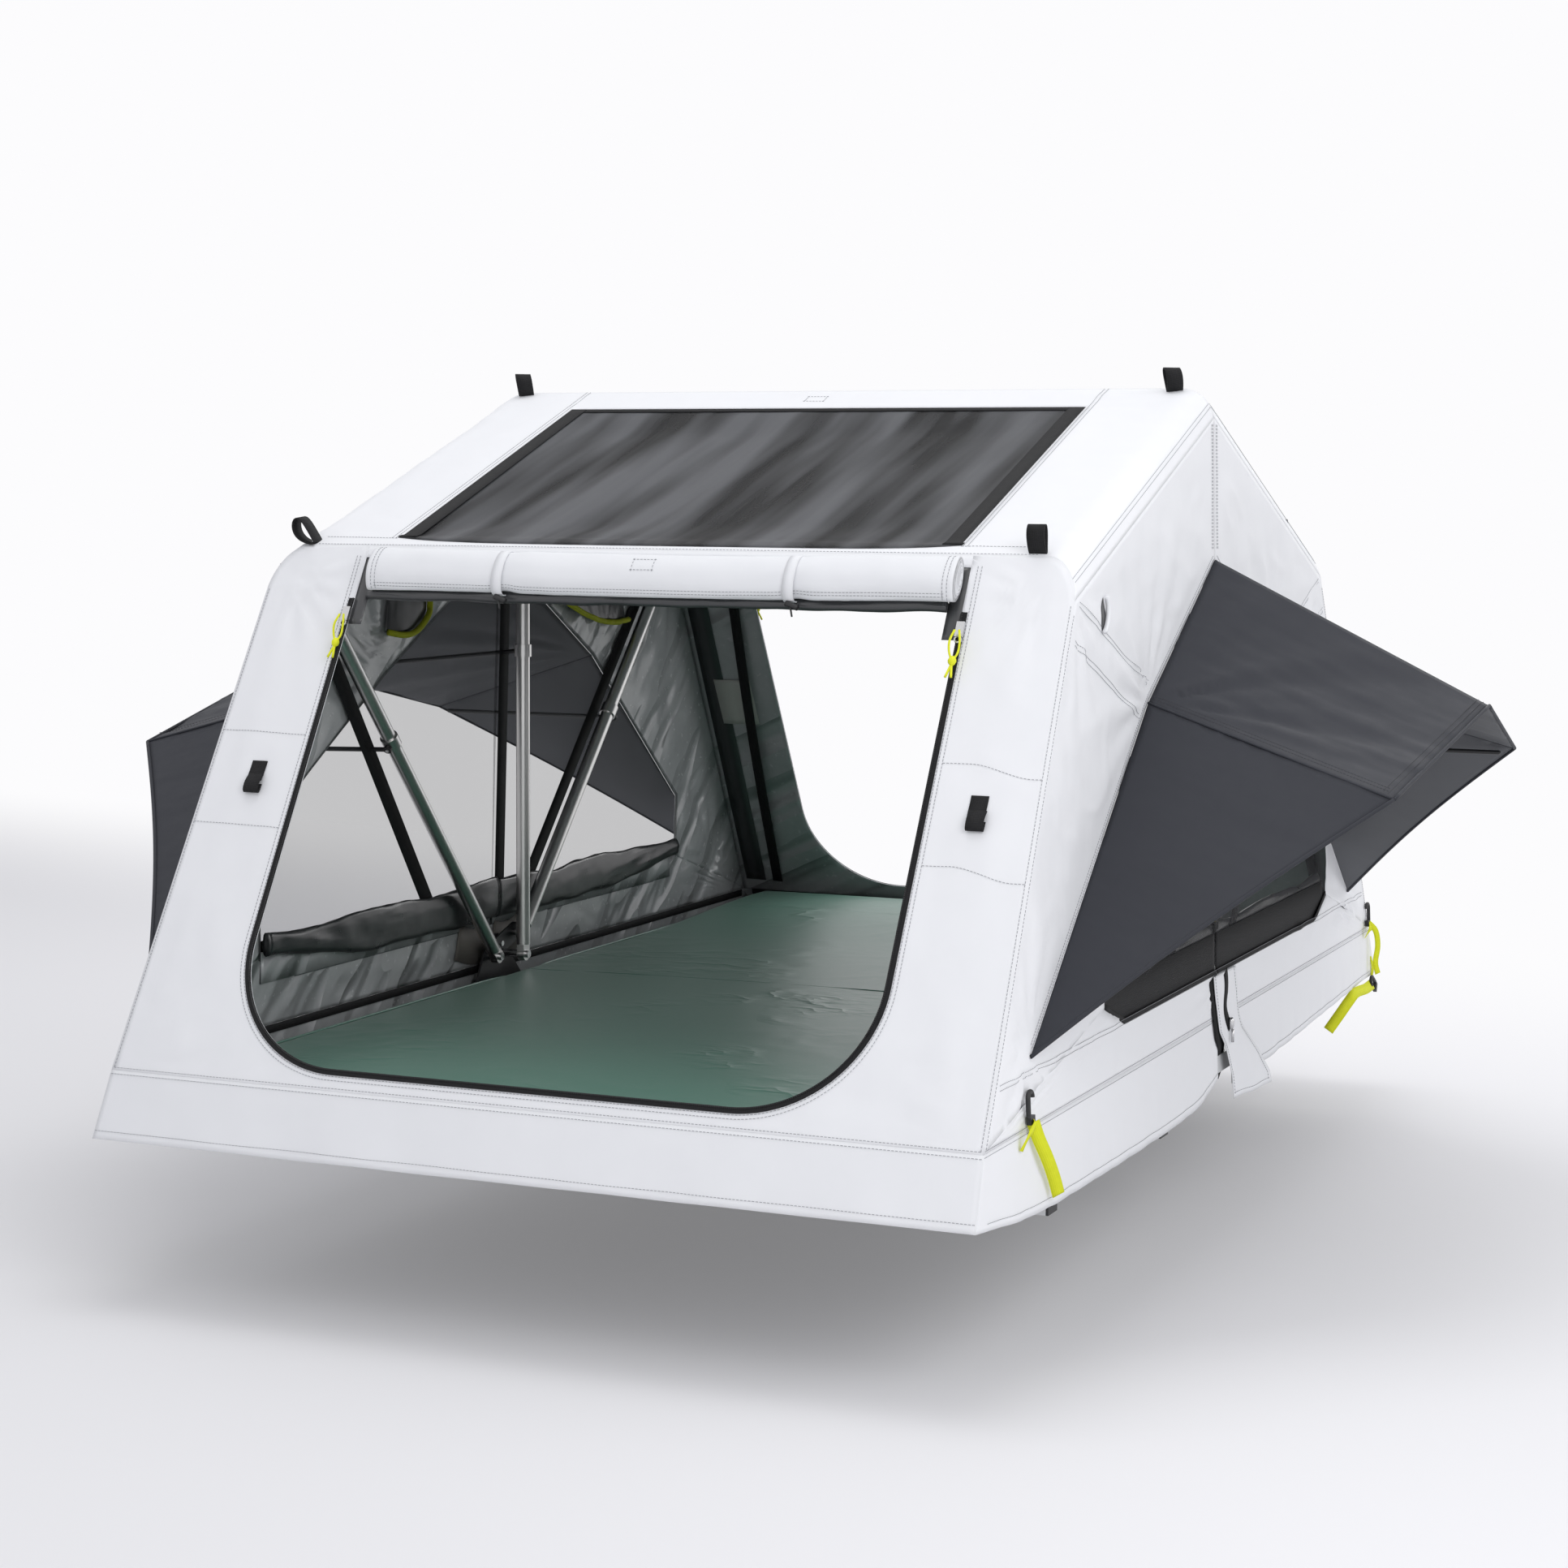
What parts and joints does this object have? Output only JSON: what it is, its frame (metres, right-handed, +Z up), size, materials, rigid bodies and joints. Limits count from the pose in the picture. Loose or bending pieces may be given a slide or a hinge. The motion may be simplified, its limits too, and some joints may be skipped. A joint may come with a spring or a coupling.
{
  "type": "roof top tent",
  "caption": "Soft roof top tent opened out on a hinged floor, with folding hoops, a bed, end doors, mesh windows under side awnings and a mesh skylight.",
  "frame": {"origin": "under the fold line of the floor, at the middle of its width, level with the underside of the mounting rails", "axes": "+X across the tent to the right as seen from the front door, +Y along the tent from the front door to the rear door, +Z up"},
  "size_m": [2.2438, 2.402, 1.2122],
  "materials": {
    "floor_panel": "satin",
    "aluminium": "satin anodised",
    "black_plastic": "matte",
    "dark_metal": "satin",
    "steel": "satin",
    "mattress_cover": "matte",
    "mesh": "matte",
    "dark_cloth": "matte",
    "white_cloth": "matte",
    "yellow_webbing": "matte",
    "black_webbing": "matte",
    "rod": "satin"
  },
  "bodies": {
    "base": {"base_panel": "floor_panel", "base_frame": "aluminium", "mount_rails": "aluminium", "rail_caps": "black_plastic", "hub_plates": "dark_metal", "hinge_pins": "steel", "pivot_bolts": "steel", "mattress_front": "mattress_cover", "front_wall": "white_cloth", "roof_front": "white_cloth", "skylight_mesh": "mesh", "side_wall_front_left": "white_cloth", "side_wall_front_right": "white_cloth", "skirt_front": "white_cloth", "door_roll_front": "white_cloth", "door_ties_front": "white_cloth", "door_zip_front": "black_webbing", "zip_sliders_front": "steel", "window_mesh_front": "mesh", "window_rolls_front": "dark_cloth", "awning_front_left": "dark_cloth", "awning_front_right": "dark_cloth", "corner_straps_front": "yellow_webbing", "strap_hooks_front": "black_plastic", "webbing_loops_front": "black_webbing", "side_pockets_front": "dark_cloth"},
    "fold_out": {"fold_panel": "floor_panel", "fold_frame": "aluminium", "hinge_plates": "dark_metal", "mattress_rear": "mattress_cover", "rear_wall": "white_cloth", "roof_rear": "white_cloth", "side_wall_rear_left": "white_cloth", "side_wall_rear_right": "white_cloth", "skirt_rear": "white_cloth", "door_roll_rear": "white_cloth", "door_ties_rear": "white_cloth", "door_zip_rear": "black_webbing", "zip_sliders_rear": "steel", "window_mesh_rear": "mesh", "window_rolls_rear": "dark_cloth", "awning_rear_left": "dark_cloth", "awning_rear_right": "dark_cloth", "corner_straps_rear": "yellow_webbing", "strap_hooks_rear": "black_plastic", "webbing_loops_rear": "black_webbing", "side_pockets_rear": "dark_cloth", "split_flaps": "white_cloth"},
    "front_hoop": {"front_hoop": "aluminium", "front_hoop_fittings": "black_plastic"},
    "mid_hoop": {"mid_hoop": "aluminium", "mid_hoop_fittings": "black_plastic"},
    "rear_hoop": {"rear_hoop": "aluminium", "rear_hoop_fittings": "black_plastic"},
    "rod_front_left": {"awning_rod_front_left": "rod"},
    "rod_front_right": {"awning_rod_front_right": "rod"},
    "rod_mid_left": {"awning_rod_mid_left": "rod"},
    "rod_mid_right": {"awning_rod_mid_right": "rod"},
    "rod_rear_left": {"awning_rod_rear_left": "rod"},
    "rod_rear_right": {"awning_rod_rear_right": "rod"}
  },
  "joints": [
    {"name": "floor_fold", "type": "hinge", "parent": "base", "child": "fold_out", "pos_m": [0, 0, 0.177], "axis": [1, 0, 0], "range_deg": [0, 180], "deforming": ["front_wall", "rear_wall", "roof_front", "roof_rear", "skylight_mesh", "side_wall_front_left", "side_wall_front_right", "side_wall_rear_left", "side_wall_rear_right", "door_roll_front", "door_roll_rear", "door_ties_front", "door_ties_rear", "door_zip_front", "door_zip_rear", "zip_sliders_front", "zip_sliders_rear", "window_mesh_front", "window_mesh_rear", "window_rolls_front", "window_rolls_rear", "awning_front_left", "awning_front_right", "awning_rear_left", "awning_rear_right", "webbing_loops_front", "webbing_loops_rear", "side_pockets_front", "side_pockets_rear", "split_flaps"]},
    {"name": "front_hoop_fold", "type": "hinge", "parent": "base", "child": "front_hoop", "pos_m": [0, -0.048, 0.161], "axis": [1, 0, 0], "range_deg": [0, 48.61]},
    {"name": "mid_hoop_fold", "type": "hinge", "parent": "base", "child": "mid_hoop", "pos_m": [0, 0, 0.161], "axis": [1, 0, 0], "range_deg": [0, 90.01]},
    {"name": "rear_hoop_fold", "type": "hinge", "parent": "base", "child": "rear_hoop", "pos_m": [0, 0.048, 0.193], "axis": [1, 0, 0], "range_deg": [0, 132.66]},
    {"name": "rod_front_left_swing", "type": "hinge", "parent": "front_hoop", "child": "rod_front_left", "pos_m": [-0.64243, -0.43312, 0.56788], "axis": [0.1268, -0.7441, -0.6559], "range_deg": [0, 95.15]},
    {"name": "rod_front_right_swing", "type": "hinge", "parent": "front_hoop", "child": "rod_front_right", "pos_m": [0.64243, -0.43312, 0.56788], "axis": [0.1268, 0.7441, 0.6559], "range_deg": [0, 95.15]},
    {"name": "rod_mid_left_swing", "type": "hinge", "parent": "mid_hoop", "child": "rod_mid_left", "pos_m": [-0.61677, 0.01998, 0.717], "axis": [0.0405, -0.9992, 0], "range_deg": [0, 83.89]},
    {"name": "rod_mid_right_swing", "type": "hinge", "parent": "mid_hoop", "child": "rod_mid_right", "pos_m": [0.61677, 0.01998, 0.717], "axis": [0.0405, 0.9992, 0], "range_deg": [0, 83.89]},
    {"name": "rod_rear_left_swing", "type": "hinge", "parent": "rear_hoop", "child": "rod_rear_left", "pos_m": [-0.64203, 0.41995, 0.5676], "axis": [-0.1466, -0.7276, 0.6702], "range_deg": [0, 96.44]},
    {"name": "rod_rear_right_swing", "type": "hinge", "parent": "rear_hoop", "child": "rod_rear_right", "pos_m": [0.64203, 0.41995, 0.5676], "axis": [-0.1466, 0.7276, -0.6702], "range_deg": [0, 96.44]}
  ],
  "couplings": [
    {"joint": "front_hoop_fold", "follows": "floor_fold", "ratio": 0.27002},
    {"joint": "mid_hoop_fold", "follows": "floor_fold", "ratio": 0.5},
    {"joint": "rear_hoop_fold", "follows": "floor_fold", "ratio": 0.73694},
    {"joint": "rod_front_left_swing", "follows": "floor_fold", "ratio": 0.52853},
    {"joint": "rod_front_right_swing", "follows": "floor_fold", "ratio": 0.52853},
    {"joint": "rod_mid_left_swing", "follows": "floor_fold", "ratio": 0.46601},
    {"joint": "rod_mid_right_swing", "follows": "floor_fold", "ratio": 0.46601},
    {"joint": "rod_rear_left_swing", "follows": "floor_fold", "ratio": 0.53574},
    {"joint": "rod_rear_right_swing", "follows": "floor_fold", "ratio": 0.53574}
  ]
}
